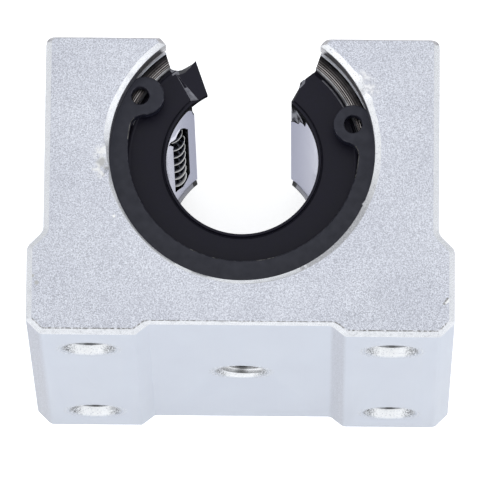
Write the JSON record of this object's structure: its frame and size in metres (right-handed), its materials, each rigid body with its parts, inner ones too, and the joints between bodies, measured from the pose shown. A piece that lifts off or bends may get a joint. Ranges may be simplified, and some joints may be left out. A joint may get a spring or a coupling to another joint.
{
  "type": "linear bearing block",
  "caption": "Open linear bearing block: a flanged aluminium housing whose slotted bore holds a recirculating-ball bearing with end seals, for a carriage on a rail-mounted round shaft.",
  "frame": {"origin": "on the bore's axis, halfway along the block", "axes": "+Z along the bore, with the block standing on its rear end face; -Y out of the mounting face; +Y out of the slot; +X across"},
  "size_m": [0.045, 0.0322, 0.045],
  "materials": {
    "block_aluminium": "bead-blasted and clear anodised",
    "shell_steel": "turned and hardened",
    "retainer_plastic": "glossy moulded",
    "seal_rubber": "smooth black",
    "ring_steel": "black oxide spring steel",
    "screw_steel": "black oxide",
    "ball_steel": "polished"
  },
  "bodies": {
    "housing": {"housing_block": "block_aluminium", "bearing_shell": "shell_steel", "ball_retainer": "retainer_plastic", "front_end_seal": "seal_rubber", "rear_end_seal": "seal_rubber", "front_retaining_ring": "ring_steel", "rear_retaining_ring": "ring_steel", "lock_screw": "screw_steel", "preload_screw": "screw_steel"},
    "circuit_1_loaded_row": {"circuit_1_loaded_balls": "ball_steel"},
    "circuit_1_return_row": {"circuit_1_return_balls": "ball_steel"},
    "circuit_1_front_turn_row": {"circuit_1_front_turn_balls": "ball_steel"},
    "circuit_1_rear_turn_row": {"circuit_1_rear_turn_balls": "ball_steel"},
    "circuit_2_loaded_row": {"circuit_2_loaded_balls": "ball_steel"},
    "circuit_2_return_row": {"circuit_2_return_balls": "ball_steel"},
    "circuit_2_front_turn_row": {"circuit_2_front_turn_balls": "ball_steel"},
    "circuit_2_rear_turn_row": {"circuit_2_rear_turn_balls": "ball_steel"},
    "circuit_3_loaded_row": {"circuit_3_loaded_balls": "ball_steel"},
    "circuit_3_return_row": {"circuit_3_return_balls": "ball_steel"},
    "circuit_3_front_turn_row": {"circuit_3_front_turn_balls": "ball_steel"},
    "circuit_3_rear_turn_row": {"circuit_3_rear_turn_balls": "ball_steel"},
    "circuit_4_loaded_row": {"circuit_4_loaded_balls": "ball_steel"},
    "circuit_4_return_row": {"circuit_4_return_balls": "ball_steel"},
    "circuit_4_front_turn_row": {"circuit_4_front_turn_balls": "ball_steel"},
    "circuit_4_rear_turn_row": {"circuit_4_rear_turn_balls": "ball_steel"}
  },
  "joints": [
    {"name": "circuit_1_loaded_run", "type": "slide", "parent": "housing", "child": "circuit_1_loaded_row", "axis": [0, 0, 1], "range_m": [-0.00079, 0.00237]},
    {"name": "circuit_1_return_run", "type": "slide", "parent": "housing", "child": "circuit_1_return_row", "axis": [0, 0, -1], "range_m": [-0.00079, 0.00237]},
    {"name": "circuit_1_front_turn", "type": "hinge", "parent": "housing", "child": "circuit_1_front_turn_row", "pos_m": [-0.00929, 0.00427, 0.00774], "axis": [0.5774, -0.7895, 0.2079], "range_deg": [-22.55, 67.55]},
    {"name": "circuit_1_rear_turn", "type": "hinge", "parent": "housing", "child": "circuit_1_rear_turn_row", "pos_m": [-0.00929, 0.00427, -0.01124], "axis": [0.5774, -0.7895, -0.2079], "range_deg": [-22.55, 67.55]},
    {"name": "circuit_2_loaded_run", "type": "slide", "parent": "housing", "child": "circuit_2_loaded_row", "axis": [0, 0, 1], "range_m": [-0.00079, 0.00237]},
    {"name": "circuit_2_return_run", "type": "slide", "parent": "housing", "child": "circuit_2_return_row", "axis": [0, 0, -1], "range_m": [-0.00079, 0.00237]},
    {"name": "circuit_2_front_turn", "type": "hinge", "parent": "housing", "child": "circuit_2_front_turn_row", "pos_m": [-0.00719, -0.00726, 0.00774], "axis": [0.9394, 0.2726, 0.2079], "range_deg": [-22.55, 67.55]},
    {"name": "circuit_2_rear_turn", "type": "hinge", "parent": "housing", "child": "circuit_2_rear_turn_row", "pos_m": [-0.00719, -0.00726, -0.01124], "axis": [0.9394, 0.2726, -0.2079], "range_deg": [-22.55, 67.55]},
    {"name": "circuit_3_loaded_run", "type": "slide", "parent": "housing", "child": "circuit_3_loaded_row", "axis": [0, 0, 1], "range_m": [-0.00079, 0.00237]},
    {"name": "circuit_3_return_run", "type": "slide", "parent": "housing", "child": "circuit_3_return_row", "axis": [0, 0, -1], "range_m": [-0.00079, 0.00237]},
    {"name": "circuit_3_front_turn", "type": "hinge", "parent": "housing", "child": "circuit_3_front_turn_row", "pos_m": [0.00437, -0.00924, 0.00774], "axis": [0.0651, 0.976, 0.2079], "range_deg": [-22.55, 67.55]},
    {"name": "circuit_3_rear_turn", "type": "hinge", "parent": "housing", "child": "circuit_3_rear_turn_row", "pos_m": [0.00437, -0.00924, -0.01124], "axis": [0.0651, 0.976, -0.2079], "range_deg": [-22.55, 67.55]},
    {"name": "circuit_4_loaded_run", "type": "slide", "parent": "housing", "child": "circuit_4_loaded_row", "axis": [0, 0, 1], "range_m": [-0.00079, 0.00237]},
    {"name": "circuit_4_return_run", "type": "slide", "parent": "housing", "child": "circuit_4_return_row", "axis": [0, 0, -1], "range_m": [-0.00079, 0.00237]},
    {"name": "circuit_4_front_turn", "type": "hinge", "parent": "housing", "child": "circuit_4_front_turn_row", "pos_m": [0.01018, 0.00094, 0.00774], "axis": [-0.8948, 0.395, 0.2079], "range_deg": [-22.55, 67.55]},
    {"name": "circuit_4_rear_turn", "type": "hinge", "parent": "housing", "child": "circuit_4_rear_turn_row", "pos_m": [0.01018, 0.00094, -0.01124], "axis": [-0.8948, 0.395, -0.2079], "range_deg": [-22.55, 67.55]}
  ],
  "couplings": [
    {"joint": "circuit_1_return_run", "follows": "circuit_1_loaded_run", "ratio": 1},
    {"joint": "circuit_1_front_turn", "follows": "circuit_1_loaded_run", "rad_per_m": 496.56},
    {"joint": "circuit_1_rear_turn", "follows": "circuit_1_loaded_run", "rad_per_m": 496.56},
    {"joint": "circuit_2_return_run", "follows": "circuit_2_loaded_run", "ratio": 1},
    {"joint": "circuit_2_front_turn", "follows": "circuit_2_loaded_run", "rad_per_m": 496.56},
    {"joint": "circuit_2_rear_turn", "follows": "circuit_2_loaded_run", "rad_per_m": 496.56},
    {"joint": "circuit_3_return_run", "follows": "circuit_3_loaded_run", "ratio": 1},
    {"joint": "circuit_3_front_turn", "follows": "circuit_3_loaded_run", "rad_per_m": 496.56},
    {"joint": "circuit_3_rear_turn", "follows": "circuit_3_loaded_run", "rad_per_m": 496.56},
    {"joint": "circuit_4_return_run", "follows": "circuit_4_loaded_run", "ratio": 1},
    {"joint": "circuit_4_front_turn", "follows": "circuit_4_loaded_run", "rad_per_m": 496.56},
    {"joint": "circuit_4_rear_turn", "follows": "circuit_4_loaded_run", "rad_per_m": 496.56}
  ]
}
